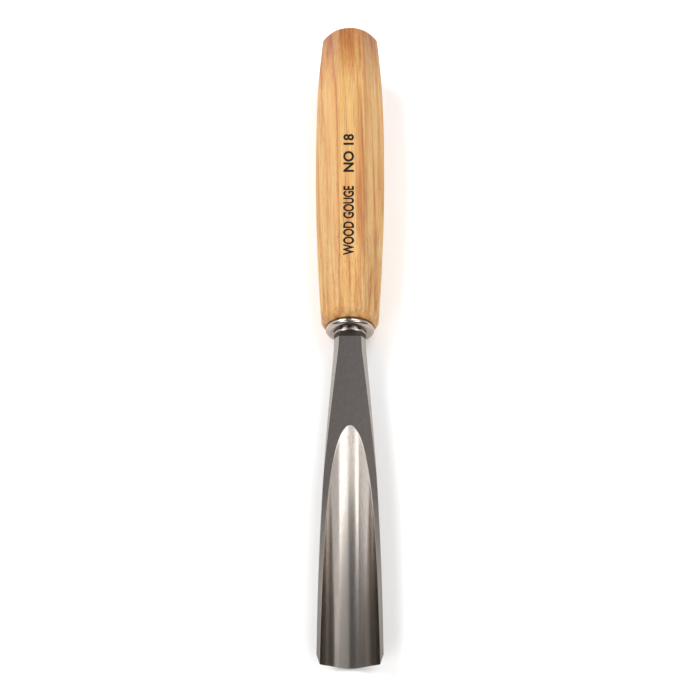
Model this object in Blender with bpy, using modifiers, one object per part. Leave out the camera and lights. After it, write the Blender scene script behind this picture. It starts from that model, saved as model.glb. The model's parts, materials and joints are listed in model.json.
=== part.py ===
"""Carving gouge: a forged U-shaped blade, an octagonal ash handle and the ferrule hidden inside it.

Lengths are in metres. Every piece is modelled in the tool's own frame: Z runs along the tool, with
the wood's front end at 0, the butt at +Z and the cutting edge at -Z; Y points out of the channel,
and X runs across. One parent empty then lays the tool down, channel up, so that it rests on the
belly of its handle and on the underside of its edge.
"""

import math

import bmesh
import bpy
from mathutils import Matrix

MM = 0.001

# Clearances between pieces that touch on the real tool.
SEAT_GAP = 0.3 * MM          # between the bolster and the wood, and around the ferrule
TANG_GAP = 0.3 * MM          # on each side of the tang in its hole
FERRULE_CLEAR = 0.6 * MM     # between the tang's corners and the ferrule

# Handle: an octagon that swells to a belly, with a turned nose and a domed butt.
HANDLE_LENGTH = 130.5 * MM
FRONT_FLATS = 19.8 * MM      # across flats at the front end, before the nose is turned
BELLY_FLATS = 25.4 * MM      # across flats at the widest place
BUTT_FLATS = 21.2 * MM       # across flats where the dome starts
BELLY_AT = 76.0 * MM         # distance of the belly from the front end
BELLY_STRAIGHT = 8.0 * MM    # straight stretch at the belly
DOME_RADIUS = 15.0 * MM
DOME_FLAT_RADIUS = 3.0 * MM  # small flat at the middle of the butt
NOSE_WALL = 1.0 * MM         # wood left around the ferrule's seat at the front face
NOSE_ROUND = 7.0 * MM        # length over which the nose rounds off to that face
NOSE_ARC = 10.0 * MM         # radius of that rounding

# Ferrule: a plain steel ring let into the front end of the wood.
FERRULE_WALL = 1.75 * MM
FERRULE_LENGTH = 9.0 * MM

# Tang: a square taper driven into the handle.
TANG_LENGTH = 62.0 * MM
TANG_ROOT = 7.0 * MM         # width across the flats at the bolster
TANG_POINT = 3.6 * MM        # width across the flats at its end
TANG_HOLE_SPARE = 1.5 * MM   # how much deeper the hole is than the tang

# Bolster: a turned ring, a groove and a small collar.
BOLSTER_SETBACK = 0.15 * MM  # how much smaller the ring is than the wood's front face
BOLSTER_STEP = 0.3 * MM      # how much smaller the face that bears on the wood is than the ring
BOLSTER_RIM = 0.9 * MM       # width of that step along the tool
BOLSTER_LENGTH = 2.2 * MM    # from the bearing face to the groove
BOLSTER_FACE_RISE = 0.7 * MM  # the ring's rounded front starts this far above the collar
GROOVE_DEPTH = 0.5 * MM      # below the collar
GROOVE_WIDTH = 0.3 * MM
COLLAR_STAND = 0.35 * MM     # how far the collar stands out beyond the sides of the neck
COLLAR_SLOPE = 0.3 * MM      # length of the slope from the groove up to the collar's edge
COLLAR_WIDTH = 0.2 * MM
SCOOP_LENGTH = 2.4 * MM      # concave run from the collar down to the flats of the shank

# Blade: a solid shank that widens towards a U-shaped edge.
BLADE_LENGTH = 114.8 * MM    # from the wood to the cutting edge
BLADE_TOP = 4.5 * MM         # height of the flat top above the tool's axis
NECK_WIDTH = 10.95 * MM      # across the shank at the scoop
FLARE_START = 9.0 * MM       # from the wood to where the neck starts to flare
SHANK_FLARE = 0.146          # growth of the width for each unit along the shank
NECK_BLEND = 0.5 * MM        # how softly the neck runs into the flare
FLARE_BLEND = 6.0 * MM       # how softly the flare runs into the full width
EDGE_WIDTH = 18.0 * MM       # the gouge's size: its cutting edge, corner to corner
EDGE_DEPTH = 9.0 * MM        # depth of the channel at the edge
WALL = 1.05 * MM             # thickness of the wings at the bevel
NECK_UNDERSIDE = 4.8 * MM    # underside of the shank below the tool's axis
NECK_SIDE = 0.5 * MM         # lower end of the neck's upright sides, below the tool's axis
NECK_CHAMFER = 1.75 * MM     # chamfer across the shank at the neck
NECK_CHAMFER_DROP = 2.5 * MM
CHAMFER_LENGTH = 50.0 * MM   # the chamfers fade out over this length
LAND_CHAMFER = 0.12 * MM     # what is left of them on the wings
SIDE_LEFT = 0.25 * MM        # shortest upright stretch of the sides, below the chamfers
BEVEL_LENGTH = 2.7 * MM
EDGE_THICKNESS = 0.1 * MM
CHANNEL_START = 38.4 * MM    # from the wood to the apex of the channel
CHANNEL_STEEPNESS = 1.34     # slope of the channel's floor at the apex, over its mean slope
CHANNEL_SWELL = 21.9 * MM    # length behind the edge over which the channel's radius grows
CHANNEL_TAPER = 0.3 * MM     # how much smaller the channel's radius is behind that length
ROOT_DEPTH = 0.35 * MM       # how far the shank's root reaches into the collar
ROOT_SHARE = 0.96            # its size there, as a share of the collar's

# Solids that join or cut.
OVERLAP = 0.5 * MM           # how far solids that join reach into each other
CUTTER_SPARE = 3.0 * MM      # how far a cutter passes the surface it cuts
MERGE_DISTANCE = 0.01 * MM

# How finely the curved shapes are divided.
SHARP_EDGE = math.radians(30)        # edges sharper than this stay crisp
DOME_LOW_ANGLE = math.radians(10)    # the dome's arc stops this far above its widest circle
TURNED_STEPS = 64
HANDLE_STEPS = 10            # on each side of the belly
DOME_STEPS = 10
NOSE_STEPS = 7
RIM_STEPS = 8                # round the front of the bolster's ring
SCOOP_STEPS = 6
SHANK_STEPS = 16
TOP_STEPS = 3                # across each half of the flat top
UNDERSIDE_STEPS = 10         # round each half of the blade's underside
CHANNEL_STEPS = 32           # round the channel
FLOOR_STEPS = 14             # along the channel's floor

# Sizes that follow from those above.
FERRULE_INNER = TANG_ROOT / math.sqrt(2) + FERRULE_CLEAR
FERRULE_OUTER = FERRULE_INNER + FERRULE_WALL
FERRULE_SEAT = FERRULE_OUTER + SEAT_GAP
NOSE_RADIUS = FERRULE_SEAT + NOSE_WALL
BOLSTER_RADIUS = NOSE_RADIUS - BOLSTER_SETBACK
BOLSTER_BACK = -SEAT_GAP
COLLAR_RADIUS = NECK_WIDTH / 2 + COLLAR_STAND
GROOVE_RADIUS = COLLAR_RADIUS - GROOVE_DEPTH
GROOVE_BACK = BOLSTER_BACK - BOLSTER_LENGTH
GROOVE_FRONT = GROOVE_BACK - GROOVE_WIDTH
SCOOP_START = GROOVE_FRONT - COLLAR_SLOPE - COLLAR_WIDTH
NECK = SCOOP_LENGTH - SCOOP_START    # from the wood to the end of the scoop
EDGE_HALF = EDGE_WIDTH / 2
BEVEL_HALF = EDGE_HALF + WALL
BEVEL_START = BLADE_LENGTH - BEVEL_LENGTH
CHANNEL_LENGTH = BLADE_LENGTH - CHANNEL_START
TANG_TAPER = (TANG_ROOT - TANG_POINT) / TANG_LENGTH


def clear_scene():
    for old in list(bpy.data.objects):
        bpy.data.objects.remove(old, do_unlink=True)


def new_collection(name):
    made = bpy.data.collections.new(name)
    bpy.context.scene.collection.children.link(made)
    return made


def material(name, colour, roughness, metallic):
    made = bpy.data.materials.new(name)
    made.use_nodes = True
    surface = made.node_tree.nodes["Principled BSDF"]
    surface.inputs["Base Color"].default_value = (*colour, 1.0)
    surface.inputs["Roughness"].default_value = roughness
    surface.inputs["Metallic"].default_value = metallic
    return made


def arc(centre, radii, first, last, steps):
    """Points of an elliptical arc from one angle to another; angle 0 points along the first axis."""
    angles = [first + (last - first) * i / steps for i in range(steps + 1)]
    return [(centre[0] + radii[0] * math.cos(a), centre[1] + radii[1] * math.sin(a)) for a in angles]


def finish_mesh(name, shape, collection):
    """Makes an object of a bmesh, with its faces turned outwards."""
    bmesh.ops.recalc_face_normals(shape, faces=shape.faces)
    mesh = bpy.data.meshes.new(name)
    shape.to_mesh(mesh)
    shape.free()
    mesh.shade_smooth()
    mesh.set_sharp_from_angle(angle=SHARP_EDGE)
    made = bpy.data.objects.new(name, mesh)
    collection.objects.link(made)
    return made


def loft(name, rings, collection):
    """A closed solid through a list of rings, each with the same number of points, and flat ends."""
    shape = bmesh.new()
    verts = [[shape.verts.new(point) for point in ring] for ring in rings]
    count = len(rings[0])
    for lower, upper in zip(verts, verts[1:]):
        for i in range(count):
            j = (i + 1) % count
            shape.faces.new((lower[i], lower[j], upper[j], upper[i]))
    shape.faces.new(verts[0])
    shape.faces.new(verts[-1])
    return finish_mesh(name, shape, collection)


def turned(name, profile, collection):
    """A solid of revolution about Z. The profile of (radius, z) runs from the top down."""
    shape = bmesh.new()
    verts = [shape.verts.new((radius, 0.0, z)) for radius, z in profile]
    for upper, lower in zip(verts, verts[1:]):
        shape.edges.new((upper, lower))
    mesh = bpy.data.meshes.new(name)
    shape.to_mesh(mesh)
    shape.free()
    made = bpy.data.objects.new(name, mesh)
    collection.objects.link(made)
    screw = made.modifiers.new("turn", "SCREW")
    screw.axis = "Z"
    screw.steps = TURNED_STEPS
    screw.render_steps = TURNED_STEPS
    screw.use_merge_vertices = True
    screw.merge_threshold = MERGE_DISTANCE
    screw.use_smooth_shade = True
    return made


def square_taper(name, z_low, z_high, width_low, width_high, collection):
    """A square bar along Z that tapers from one width to the other."""
    shape = bmesh.new()
    made = bmesh.ops.create_cone(
        shape,
        cap_ends=True,
        segments=4,
        radius1=width_low / math.sqrt(2),
        radius2=width_high / math.sqrt(2),
        depth=z_high - z_low,
    )
    eighth = Matrix.Rotation(math.radians(45), 3, "Z")
    bmesh.ops.rotate(shape, verts=made["verts"], cent=(0, 0, 0), matrix=eighth)
    bmesh.ops.translate(shape, verts=made["verts"], vec=(0, 0, (z_low + z_high) / 2))
    return finish_mesh(name, shape, collection)


def combine(piece, other, operation):
    step = piece.modifiers.new(other.name, "BOOLEAN")
    step.operation = operation
    step.object = other
    other.hide_render = True
    other.display_type = "WIRE"


# Handle


def across_flats(z):
    """Width of the octagon at z: one parabola falls from each end of the straight belly."""
    front = BELLY_AT - BELLY_STRAIGHT / 2
    back = BELLY_AT + BELLY_STRAIGHT / 2
    dome_edge = HANDLE_LENGTH - dome_height()
    if z < front:
        share = (front - z) / front
        return BELLY_FLATS - (BELLY_FLATS - FRONT_FLATS) * share**2
    if z > back:
        share = (z - back) / (dome_edge - back)
        return BELLY_FLATS - (BELLY_FLATS - BUTT_FLATS) * share**2
    return BELLY_FLATS


def dome_height():
    """How far the dome stands above the middle of a facet's end, its small flat taken off."""
    full = math.sqrt(DOME_RADIUS**2 - DOME_FLAT_RADIUS**2)
    return full - math.sqrt(DOME_RADIUS**2 - (BUTT_FLATS / 2) ** 2)


def handle_stations():
    """Places of the octagonal sections, with a spare one past each end for the turned ends to cut."""
    front = BELLY_AT - BELLY_STRAIGHT / 2
    back = BELLY_AT + BELLY_STRAIGHT / 2
    ahead = [front * i / HANDLE_STEPS for i in range(HANDLE_STEPS + 1)]
    behind = [back + (HANDLE_LENGTH - back) * i / HANDLE_STEPS for i in range(HANDLE_STEPS + 1)]
    return [-CUTTER_SPARE] + ahead + behind + [HANDLE_LENGTH + CUTTER_SPARE]


def octagon(z):
    """A regular octagon at z with one flat facing +Y."""
    radius = across_flats(z) / 2 / math.cos(math.pi / 8)
    angles = [math.pi / 8 + math.pi / 4 * i for i in range(8)]
    return [(radius * math.cos(a), radius * math.sin(a), z) for a in angles]


def turned_ends():
    """The handle's round envelope: the dome at the butt, a wide cone clear of it, the rounded nose."""
    dome_centre = (0.0, HANDLE_LENGTH - math.sqrt(DOME_RADIUS**2 - DOME_FLAT_RADIUS**2))
    flat_angle = math.acos(DOME_FLAT_RADIUS / DOME_RADIUS)
    dome = arc(dome_centre, (DOME_RADIUS, DOME_RADIUS), flat_angle, DOME_LOW_ANGLE, DOME_STEPS)
    wide = (BELLY_FLATS, NOSE_ROUND + CUTTER_SPARE)
    face_angle = math.asin(NOSE_ROUND / NOSE_ARC)
    nose_centre = (NOSE_RADIUS - NOSE_ARC * math.cos(face_angle), NOSE_ROUND)
    nose = arc(nose_centre, (NOSE_ARC, NOSE_ARC), 0.0, -face_angle, NOSE_STEPS)
    return [(0.0, HANDLE_LENGTH), *dome, wide, *nose, (0.0, 0.0)]


def make_handle(parts, cutters, wood):
    handle = loft("handle", [octagon(z) for z in handle_stations()], parts)
    combine(handle, turned("handle_ends", turned_ends(), cutters), "INTERSECT")
    hole_depth = TANG_LENGTH + TANG_HOLE_SPARE
    hole = square_taper(
        "tang_hole",
        -CUTTER_SPARE,
        hole_depth,
        TANG_ROOT + TANG_TAPER * CUTTER_SPARE + 2 * TANG_GAP,
        TANG_ROOT - TANG_TAPER * hole_depth + 2 * TANG_GAP,
        cutters,
    )
    combine(handle, hole, "DIFFERENCE")
    depth = FERRULE_LENGTH + SEAT_GAP
    seat = [
        (0.0, depth),
        (FERRULE_SEAT, depth),
        (FERRULE_SEAT, -CUTTER_SPARE),
        (0.0, -CUTTER_SPARE),
    ]
    combine(handle, turned("ferrule_seat", seat, cutters), "DIFFERENCE")
    handle.data.materials.append(wood)
    return handle


def make_ferrule(parts, steel):
    ring = [
        (FERRULE_INNER, FERRULE_LENGTH),
        (FERRULE_OUTER, FERRULE_LENGTH),
        (FERRULE_OUTER, 0.0),
        (FERRULE_INNER, 0.0),
        (FERRULE_INNER, FERRULE_LENGTH),
    ]
    ferrule = turned("ferrule", ring, parts)
    ferrule.data.materials.append(steel)
    return ferrule


# Blade


def blend_low(a, b, softness):
    """The lower of two values, rounded where they cross."""
    share = max(0.0, min(1.0, 0.5 + 0.5 * (b - a) / softness))
    return b + (a - b) * share - softness * share * (1 - share)


def channel_depth(along):
    """Depth of the channel's floor below the flat top: steepest at the apex, easing to the edge."""
    share = (along - CHANNEL_START) / CHANNEL_LENGTH
    return EDGE_DEPTH * share * (CHANNEL_STEEPNESS - (CHANNEL_STEEPNESS - 1) * share)


def channel_radius(along):
    """Radius of the channel, which swells a little over the last stretch to the edge."""
    short_of_edge = max(0.0, BLADE_LENGTH - along)
    return EDGE_HALF - CHANNEL_TAPER * min(1.0, short_of_edge / CHANNEL_SWELL)


def channel_section(along):
    """The cutter's outline: a half round below, and upright sides above it."""
    radius = channel_radius(along)
    centre = BLADE_TOP - channel_depth(along) + radius
    top = max(centre, BLADE_TOP) + CUTTER_SPARE
    half_round = arc((0.0, centre), (radius, radius), 0.0, -math.pi, CHANNEL_STEPS)
    return [(x, y, -along) for x, y in [(radius, top), *half_round, (-radius, top)]]


def make_channel(cutters):
    places = [CHANNEL_START + CHANNEL_LENGTH * i / FLOOR_STEPS for i in range(FLOOR_STEPS + 1)]
    places = [CHANNEL_START - CUTTER_SPARE, *places, BLADE_LENGTH + CUTTER_SPARE]
    return loft("channel_cutter", [channel_section(along) for along in places], cutters)


def half_width(along):
    """Half the blade's width: a short parallel neck, an even flare, then its full width."""
    flare = NECK_WIDTH + SHANK_FLARE * (along - FLARE_START)
    from_neck = -blend_low(-flare, -NECK_WIDTH, NECK_BLEND)
    return blend_low(from_neck, 2 * BEVEL_HALF, FLARE_BLEND) / 2


def blade_section(along, wall_lost=0.0):
    """The blade's outline before the channel is cut: flat top, chamfers, upright sides, round below.

    wall_lost is what the bevel has taken off the outside.
    """
    grown = min(1.0, max(0.0, (along - NECK) / (BEVEL_START - NECK)))
    fade = max(0.0, 1 - (along - NECK) / CHAMFER_LENGTH)
    half = half_width(along) - wall_lost
    chamfer = LAND_CHAMFER + (NECK_CHAMFER - LAND_CHAMFER) * fade
    drop = LAND_CHAMFER + (NECK_CHAMFER_DROP - LAND_CHAMFER) * fade
    edge_bottom = BLADE_TOP - EDGE_DEPTH - WALL
    bottom = -NECK_UNDERSIDE + (edge_bottom + NECK_UNDERSIDE) * grown + wall_lost
    edge_side = BLADE_TOP - EDGE_DEPTH + EDGE_HALF
    side = -NECK_SIDE + (edge_side + NECK_SIDE) * grown**2
    side = min(side, BLADE_TOP - drop - SIDE_LEFT)
    right = [(0.0, BLADE_TOP)]
    right += [((half - chamfer) * (i + 1) / TOP_STEPS, BLADE_TOP) for i in range(TOP_STEPS)]
    right += [(half, BLADE_TOP - drop)]
    right += arc((0.0, side), (half, side - bottom), 0.0, -math.pi / 2, UNDERSIDE_STEPS)
    left = [(-x, y) for x, y in right[-2:0:-1]]
    return right + left


def scoop_section(place):
    """A section between the collar's circle (place 0) and the neck of the shank (place 1)."""
    left_over = (1 - place) ** 2
    ring = []
    for x, y in blade_section(NECK):
        scale = 1 + (COLLAR_RADIUS / math.hypot(x, y) - 1) * left_over
        ring.append((x * scale, y * scale))
    return ring


def make_blade_body(parts):
    root = [(x * ROOT_SHARE, y * ROOT_SHARE) for x, y in scoop_section(0.0)]
    rings = [[(x, y, SCOOP_START + ROOT_DEPTH) for x, y in root]]
    for i in range(1, SCOOP_STEPS + 1):
        place = i / SCOOP_STEPS
        z = SCOOP_START - SCOOP_LENGTH * place
        rings.append([(x, y, z) for x, y in scoop_section(place)])
    for i in range(1, SHANK_STEPS + 1):
        along = NECK + (BEVEL_START - NECK) * i / SHANK_STEPS
        rings.append([(x, y, -along) for x, y in blade_section(along)])
    lost = WALL - EDGE_THICKNESS
    rings.append([(x, y, -BLADE_LENGTH) for x, y in blade_section(BLADE_LENGTH, lost)])
    return loft("blade", rings, parts)


def bolster_profile():
    """From the face on the wood, round the ring's rim, into the groove and out to the collar."""
    face = COLLAR_RADIUS + BOLSTER_FACE_RISE
    rim = BOLSTER_BACK - BOLSTER_RIM
    rounding = (BOLSTER_RADIUS - face, rim - GROOVE_BACK)
    return [
        (0.0, BOLSTER_BACK),
        (BOLSTER_RADIUS - BOLSTER_STEP, BOLSTER_BACK),
        *arc((face, rim), rounding, 0.0, -math.pi / 2, RIM_STEPS),
        (GROOVE_RADIUS, GROOVE_BACK),
        (GROOVE_RADIUS, GROOVE_FRONT),
        (COLLAR_RADIUS, GROOVE_FRONT - COLLAR_SLOPE),
        (COLLAR_RADIUS, SCOOP_START),
        (0.0, SCOOP_START),
    ]


def make_blade(parts, cutters, steel):
    blade = make_blade_body(parts)
    combine(blade, turned("bolster_ring", bolster_profile(), cutters), "UNION")
    root = BOLSTER_BACK - OVERLAP
    root_width = TANG_ROOT - TANG_TAPER * root
    tang = square_taper("tang_taper", root, TANG_LENGTH, root_width, TANG_POINT, cutters)
    combine(blade, tang, "UNION")
    combine(blade, make_channel(cutters), "DIFFERENCE")
    blade.data.materials.append(steel)
    return blade


# Rest


def underside_of_edge():
    """The lowest point of the blade at the back of its bevel, as (y, z)."""
    return BLADE_TOP - EDGE_DEPTH - WALL, -BEVEL_START


def rest_tilt():
    """Angle between the tool's axis and the bench, with the belly and the edge's underside on it."""
    edge_y, edge_z = underside_of_edge()
    slopes = [
        (edge_y + across_flats(z) / 2) / (z - edge_z)
        for z in handle_stations()
        if NOSE_ROUND < z < HANDLE_LENGTH - dome_height()
    ]
    return math.atan(max(slopes))


def lay_down(pieces, parts):
    """Parents the pieces to an empty that lies them down, centred, with their lowest point at 0."""
    tilt = rest_tilt()
    edge_y, edge_z = underside_of_edge()
    front = -BLADE_LENGTH * math.cos(tilt) - BLADE_TOP * math.sin(tilt)
    back = HANDLE_LENGTH * math.cos(tilt) + DOME_FLAT_RADIUS * math.sin(tilt)
    tool = bpy.data.objects.new("gouge_axis", None)
    parts.objects.link(tool)
    tool.rotation_euler = (math.pi / 2 - tilt, 0.0, math.pi)
    lift = -(edge_y * math.cos(tilt) + edge_z * math.sin(tilt))
    tool.location = (0.0, -(front + back) / 2, lift)
    for piece in pieces:
        piece.parent = tool


def main():
    clear_scene()
    parts = new_collection("carving_gouge")
    cutters = new_collection("cutters")
    cutters.hide_render = True
    ash = material("ash", (0.62, 0.38, 0.17), 0.55, 0.0)
    tool_steel = material("tool_steel", (0.30, 0.29, 0.28), 0.30, 1.0)
    mild_steel = material("mild_steel", (0.45, 0.45, 0.45), 0.40, 1.0)
    pieces = [
        make_handle(parts, cutters, ash),
        make_ferrule(parts, mild_steel),
        make_blade(parts, cutters, tool_steel),
    ]
    lay_down(pieces + list(cutters.objects), parts)


main()
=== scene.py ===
# %% [markdown]
# # A carving gouge, and how its surfaces are made
#
# A carving gouge is a steel blade with a U-shaped channel, driven by its tang into a wooden handle.
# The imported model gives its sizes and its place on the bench. It is plain on purpose: its facets are
# flat and its steel is one colour. Here each visible piece is made again as a fine surface worked out
# with numpy, and each finish is a pattern made of nodes at its real scale.

# %% Load the frame
import json
import math

import bmesh
import bpy
import numpy as np
from mathutils import Matrix, Vector


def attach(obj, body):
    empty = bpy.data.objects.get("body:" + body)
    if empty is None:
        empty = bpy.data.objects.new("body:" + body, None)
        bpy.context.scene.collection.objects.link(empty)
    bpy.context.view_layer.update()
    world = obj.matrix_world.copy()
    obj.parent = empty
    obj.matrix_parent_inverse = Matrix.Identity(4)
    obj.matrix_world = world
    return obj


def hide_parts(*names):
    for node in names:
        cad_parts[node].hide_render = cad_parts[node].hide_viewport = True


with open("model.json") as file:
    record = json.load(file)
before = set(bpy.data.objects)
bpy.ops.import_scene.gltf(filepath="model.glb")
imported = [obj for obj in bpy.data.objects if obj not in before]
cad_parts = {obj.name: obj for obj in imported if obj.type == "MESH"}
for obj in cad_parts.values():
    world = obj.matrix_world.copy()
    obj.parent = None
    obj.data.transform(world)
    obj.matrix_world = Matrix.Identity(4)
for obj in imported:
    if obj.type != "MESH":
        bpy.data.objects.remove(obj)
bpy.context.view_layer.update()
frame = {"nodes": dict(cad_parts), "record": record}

MM = 0.001

# %% [markdown]
# ## The tool's own frame
#
# The gouge lies tilted, because the belly of its handle and the underside of its edge touch the bench.
# Its shapes are simple only along its own axis, so they are worked out in the tool's own frame and
# then carried to the bench. The record's mounts give that frame without any guess: the butt's mount
# has the direction of the tool, and the mount on the flat of the shank has the direction out of the
# channel. In the tool's frame z runs from the wood's front end towards the butt, y points out of the
# channel and x runs across.

# %% The tool's frame, from the mounts
mounts = {mount["name"]: mount for mount in frame["record"]["mounts"]}
along_tool = np.array(mounts["butt_strike"]["axis"])
out_of_channel = np.array(mounts["shank_flat"]["axis"])
butt_centre = np.array(mounts["butt_strike"]["pos_m"])


def cad_heights(node, axis, zero):
    """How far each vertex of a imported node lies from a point, measured along an axis, in mm."""
    mesh = frame["nodes"][node].data
    places = np.empty(3 * len(mesh.vertices))
    mesh.vertices.foreach_get("co", places)
    return (places.reshape(-1, 3) - zero) @ axis / MM


HANDLE_LENGTH = -cad_heights("handle", along_tool, butt_centre).min()
wood_front = butt_centre - HANDLE_LENGTH * MM * along_tool
BLADE_LENGTH = -cad_heights("blade", along_tool, wood_front).min()
BLADE_TOP = (np.array(mounts["shank_flat"]["pos_m"]) - wood_front) @ out_of_channel / MM
tool_axes = np.array([np.cross(out_of_channel, along_tool), out_of_channel, along_tool])
print(f"handle {HANDLE_LENGTH:.1f} mm, blade {BLADE_LENGTH:.1f} mm")
print(f"the shank's flat lies {BLADE_TOP:.2f} mm above the tool's axis")


def to_bench(points):
    """Points in the tool's frame, in mm, as metres on the bench: origin + x X + y Y + z Z."""
    return wood_front + (points * MM) @ tool_axes


# %% [markdown]
# ## From a grid to a piece
#
# Most of this tool is a stack of closed rings: sections across the tool, one behind the other. If
# every ring has the same number of points, the points form a grid, and each four neighbours make a
# face. Where a surface closes, all points of a ring fall together, and merging them turns the
# four-sided faces there into triangles. That is shorter than making a cap by hand, and it leaves no
# seam.

# %% A mesh from rings
MERGE_DISTANCE = 0.0008      # mm: points closer than this are one point


def grid_faces(rows, columns):
    """Four-sided faces of a grid whose last column joins its first: (i,j) (i,j+1) (i+1,j+1) (i+1,j)."""
    i, j = np.meshgrid(np.arange(rows - 1), np.arange(columns), indexing="ij")
    after = (j + 1) % columns
    here, behind = i * columns, (i + 1) * columns
    corners = [here + j, here + after, behind + after, behind + j]
    return np.stack(corners, axis=-1).reshape(-1, 4)


def make_piece(name, points, faces, finishes, finish_of_face=None, sharp=30.0):
    """A mesh object on the bench, from points in the tool's frame, with its doubles merged.

    Edges that turn by more than sharp degrees stay sharp, and the rest is shaded smooth.
    """
    mesh = bpy.data.meshes.new(name)
    mesh.from_pydata(to_bench(points).tolist(), [], list(faces))
    if finish_of_face is not None:
        mesh.polygons.foreach_set("material_index", finish_of_face.astype(np.int32))
    shape = bmesh.new()
    shape.from_mesh(mesh)
    bmesh.ops.remove_doubles(shape, verts=shape.verts, dist=MERGE_DISTANCE * MM)
    bmesh.ops.recalc_face_normals(shape, faces=shape.faces)
    shape.to_mesh(mesh)
    shape.free()
    mesh.shade_smooth()
    mesh.set_sharp_from_angle(angle=math.radians(sharp))
    for finish in finishes:
        mesh.materials.append(finish)
    piece = bpy.data.objects.new(name, mesh)
    bpy.context.scene.collection.objects.link(piece)
    print(f"{name}: {len(mesh.vertices)} points, {len(mesh.polygons)} faces")
    return piece


def smooth_low(a, b, softness):
    """The lower of two values, rounded where they cross: b + (a-b)s - k s(1-s), s between 0 and 1."""
    share = np.clip(0.5 + 0.5 * (b - a) / softness, 0.0, 1.0)
    return b + (a - b) * share - softness * share * (1 - share)


# %% [markdown]
# ## Colours and a helper for nodes
#
# Colours are written as the sRGB hex values that a paint card or a screen shows. Cycles works with
# linear light, so one function turns them. Every finish below is a small tree of nodes, and one
# function adds a node with its settings and its links, so that a tree reads as a list of steps.

# %% Colours and nodes


def linear(hex_colour):
    """sRGB hex to linear RGBA: c/12.92 below 0.04045, else ((c + 0.055)/1.055) to the power 2.4."""
    channels = [int(hex_colour[i : i + 2], 16) / 255 for i in (1, 3, 5)]
    return (*(c / 12.92 if c < 0.04045 else ((c + 0.055) / 1.055) ** 2.4 for c in channels), 1.0)


def add_node(tree, kind, settings=None, **inputs):
    """Adds a node. settings are its properties. An input is a value, or the output of another node.

    An input is called by its name, or by its number after an underscore where names repeat.
    """
    node = tree.nodes.new("ShaderNode" + kind)
    for key, value in (settings or {}).items():
        setattr(node, key, value)
    for key, value in inputs.items():
        slot = int(key[1:]) if key[0] == "_" and key[1:].isdigit() else key.replace("_", " ")
        if isinstance(value, bpy.types.NodeSocket):
            tree.links.new(value, node.inputs[slot])
        else:
            node.inputs[slot].default_value = value
    return node


def add_ramp(tree, factor, stops):
    """A ramp of (position, hex colour) stops, for the colours or the greys of a pattern."""
    ramp = add_node(tree, "ValToRGB", None, Fac=factor)
    elements = ramp.color_ramp.elements
    while len(elements) < len(stops):
        elements.new(1.0)
    for element, (position, colour) in zip(elements, stops):
        element.position = position
        element.color = linear(colour)
    return ramp.outputs["Color"]


def noise(tree, place, detail, roughness=0.5):
    """Smooth random values. Their spots are about one unit of the given place wide."""
    return add_node(
        tree, "TexNoise", None, Vector=place, Scale=1.0, Detail=detail, Roughness=roughness,
    ).outputs["Fac"]


def worked_out(tree, operation, first, second=None):
    """A sum, a product or another operation on one number or two."""
    inputs = {"_0": first} if second is None else {"_0": first, "_1": second}
    return add_node(tree, "Math", {"operation": operation}, **inputs).outputs[0]


def remapped(tree, value, low, high, to_low, to_high):
    """A value carried from the range low to high over to another range, and held at its ends."""
    return add_node(
        tree, "MapRange", None, Value=value, From_Min=low, From_Max=high, To_Min=to_low, To_Max=to_high,
    ).outputs[0]


def mixed(tree, share, first, second, blend="MIX"):
    """The first colour, with a share of the second mixed in."""
    settings = {"data_type": "RGBA", "blend_type": blend}
    return add_node(tree, "Mix", settings, Factor=share, _6=first, _7=second).outputs[2]


def stained(tree, share, colour, stain):
    """The colour multiplied by a stain, as a thin glaze does, to the given share."""
    return mixed(tree, share, colour, stain, "MULTIPLY")


def new_finish(name, **surface):
    """A material with one Principled shader, whose plain values are set on its own sockets."""
    finish = bpy.data.materials.new(name)
    finish.use_nodes = True
    shader = finish.node_tree.nodes["Principled BSDF"]
    for key, value in surface.items():
        shader.inputs[key.replace("_", " ")].default_value = value
    return finish, finish.node_tree, shader


def add_relief(tree, shader, height, strength, depth):
    """Bumps from a pattern's height, depth mm high where the height grows by one."""
    bump = add_node(tree, "Bump", None, Height=height, Strength=strength, Distance=depth * MM)
    tree.links.new(bump.outputs[0], shader.inputs["Normal"])


def tool_millimetres(tree):
    """The point's place in the tool's frame, in mm: Object coordinates through the frame's inverse."""
    here = add_node(tree, "TexCoord")
    turn = Matrix(tool_axes.T.tolist()).to_euler()
    settings = {"vector_type": "TEXTURE"}
    place = add_node(
        tree, "Mapping", settings, Vector=here.outputs["Object"], Location=tuple(wood_front),
        Rotation=tuple(turn), Scale=(MM, MM, MM),
    )
    return place.outputs["Vector"]


def along_the_tool(tree, place):
    """The place along the tool, in mm behind the wood's front end, and less than 0 ahead of it."""
    return add_node(tree, "SeparateXYZ", None, Vector=place).outputs["Z"]


def stretched(tree, place, across, up, along):
    """The place divided by a pattern's size in mm across, up and along the tool."""
    scale = (1 / across, 1 / up, 1 / along)
    return add_node(tree, "Mapping", None, Vector=place, Scale=scale).outputs["Vector"]


# %% [markdown]
# ## Ash for the handle
#
# The handle is ash, a ring-porous wood. Each year starts with a band of wide pores, which shows as a
# darker line along the handle, and ends with dense pale wood. The rings are parts of large cylinders
# round the tree's heart, so they are worked out as a distance from a line that runs almost along the
# handle, well to one side of it. Lines of pores then lie along the grain as short dark dashes. The
# wood is sanded smooth and has a thin clear varnish, which gives a soft shine over the pattern.

# %% Ash
RING_SPACING = 3.4           # mm between two years
HEART_ACROSS = 78.6          # mm from the handle's axis to the tree's heart
HEART_BELOW = 8.0
RING_DRIFT = -0.031          # how far the rings move sideways for each unit along the handle
RING_WANDER = 2.4            # mm by which they bend to and fro
BUTT_DARK = (98.0, 124.0)    # mm from the wood's front end to where the darkening starts and ends


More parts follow.
